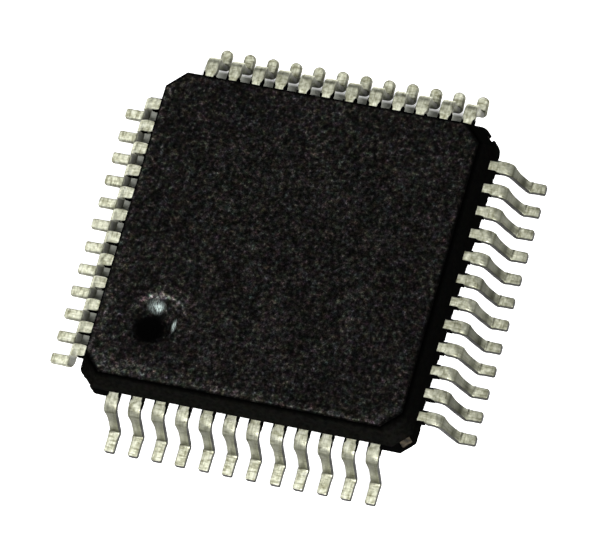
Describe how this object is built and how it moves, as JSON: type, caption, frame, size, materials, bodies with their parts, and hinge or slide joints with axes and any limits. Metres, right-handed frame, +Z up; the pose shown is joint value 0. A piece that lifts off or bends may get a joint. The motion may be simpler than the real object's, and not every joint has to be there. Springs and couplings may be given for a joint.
{
  "type": "quad flat pack chip",
  "caption": "Low-profile quad flat pack chip: a square black moulded body with cut corners and a pin-one dimple, on gull-wing leads along every side.",
  "frame": {"origin": "on the seating plane of the lead feet, under the middle of the lead frame", "axes": "+Z up out of the top face; -Y to the front side, whose leads are 1 to 12; the pin-one dimple is at the -X, -Y corner"},
  "size_m": [0.009, 0.009, 0.0015],
  "materials": {
    "moulding_compound": "fine matte as-moulded epoxy, near black",
    "tin_plate": "matte electroplated tin",
    "copper_alloy": "bare copper alloy where it is cut",
    "die_attach_epoxy": "silver-filled epoxy",
    "silicon": "polished silicon",
    "gold_wire": "bare gold"
  },
  "bodies": {
    "root": {"moulded_body": "moulding_compound", "lead_01": "tin_plate", "lead_02": "tin_plate", "lead_03": "tin_plate", "lead_04": "tin_plate", "lead_05": "tin_plate", "lead_06": "tin_plate", "lead_07": "tin_plate", "lead_08": "tin_plate", "lead_09": "tin_plate", "lead_10": "tin_plate", "lead_11": "tin_plate", "lead_12": "tin_plate", "lead_13": "tin_plate", "lead_14": "tin_plate", "lead_15": "tin_plate", "lead_16": "tin_plate", "lead_17": "tin_plate", "lead_18": "tin_plate", "lead_19": "tin_plate", "lead_20": "tin_plate", "lead_21": "tin_plate", "lead_22": "tin_plate", "lead_23": "tin_plate", "lead_24": "tin_plate", "lead_25": "tin_plate", "lead_26": "tin_plate", "lead_27": "tin_plate", "lead_28": "tin_plate", "lead_29": "tin_plate", "lead_30": "tin_plate", "lead_31": "tin_plate", "lead_32": "tin_plate", "lead_33": "tin_plate", "lead_34": "tin_plate", "lead_35": "tin_plate", "lead_36": "tin_plate", "lead_37": "tin_plate", "lead_38": "tin_plate", "lead_39": "tin_plate", "lead_40": "tin_plate", "lead_41": "tin_plate", "lead_42": "tin_plate", "lead_43": "tin_plate", "lead_44": "tin_plate", "lead_45": "tin_plate", "lead_46": "tin_plate", "lead_47": "tin_plate", "lead_48": "tin_plate", "die_pad": "copper_alloy", "die_attach": "die_attach_epoxy", "silicon_die": "silicon", "bond_wires_front": "gold_wire", "bond_wires_right": "gold_wire", "bond_wires_back": "gold_wire", "bond_wires_left": "gold_wire"}
  },
  "joints": []
}
